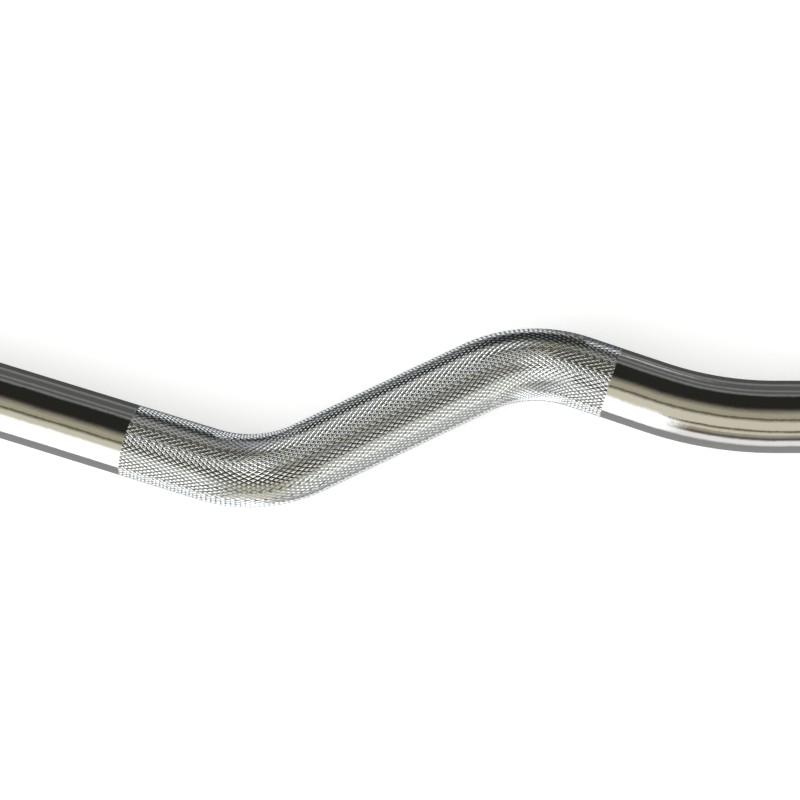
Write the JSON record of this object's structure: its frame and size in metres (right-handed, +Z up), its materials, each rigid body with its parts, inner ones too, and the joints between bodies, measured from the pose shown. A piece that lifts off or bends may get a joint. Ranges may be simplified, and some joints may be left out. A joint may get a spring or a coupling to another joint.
{
  "type": "ez curl bar",
  "caption": "Chromed curl bar with a zigzag bent shaft, diamond-knurled angled hand grips and, at each end, a free-turning plate sleeve behind a flanged stop collar.",
  "frame": {"origin": "middle of the bar at floor level, straight below the axis that both sleeves turn on", "axes": "+X along the sleeves' axis to the right-hand sleeve, +Y the way the middle of the shaft and its outer bends bow, +Z up with the bends lying flat"},
  "size_m": [1.2, 0.0717, 0.065],
  "materials": {
    "shaft_chrome": "polished chrome plate, diamond knurl on the grips",
    "sleeve_chrome": "polished chrome plate",
    "bearing_bronze": "turned, oiled",
    "spring_steel": "dark phosphate",
    "cap_steel": "satin, turned face",
    "seal_rubber": "matt black"
  },
  "bodies": {
    "shaft": {"bent_shaft": "shaft_chrome", "left_inner_thrust_washer": "bearing_bronze", "left_outer_thrust_washer": "bearing_bronze", "left_shaft_snap_ring": "spring_steel", "right_inner_thrust_washer": "bearing_bronze", "right_outer_thrust_washer": "bearing_bronze", "right_shaft_snap_ring": "spring_steel"},
    "left_sleeve": {"left_sleeve_tube": "sleeve_chrome", "left_stop_collar": "sleeve_chrome", "left_dust_seal": "seal_rubber", "left_inner_bushing": "bearing_bronze", "left_outer_bushing": "bearing_bronze", "left_end_cap": "cap_steel", "left_cap_snap_ring": "spring_steel"},
    "right_sleeve": {"right_sleeve_tube": "sleeve_chrome", "right_stop_collar": "sleeve_chrome", "right_dust_seal": "seal_rubber", "right_inner_bushing": "bearing_bronze", "right_outer_bushing": "bearing_bronze", "right_end_cap": "cap_steel", "right_cap_snap_ring": "spring_steel"}
  },
  "joints": [
    {"name": "left_sleeve_spin", "type": "hinge", "parent": "shaft", "child": "left_sleeve", "pos_m": [-0.5, 0, 0.0325], "axis": [1, 0, 0], "continuous": true},
    {"name": "right_sleeve_spin", "type": "hinge", "parent": "shaft", "child": "right_sleeve", "pos_m": [0.5, 0, 0.0325], "axis": [1, 0, 0], "continuous": true}
  ]
}
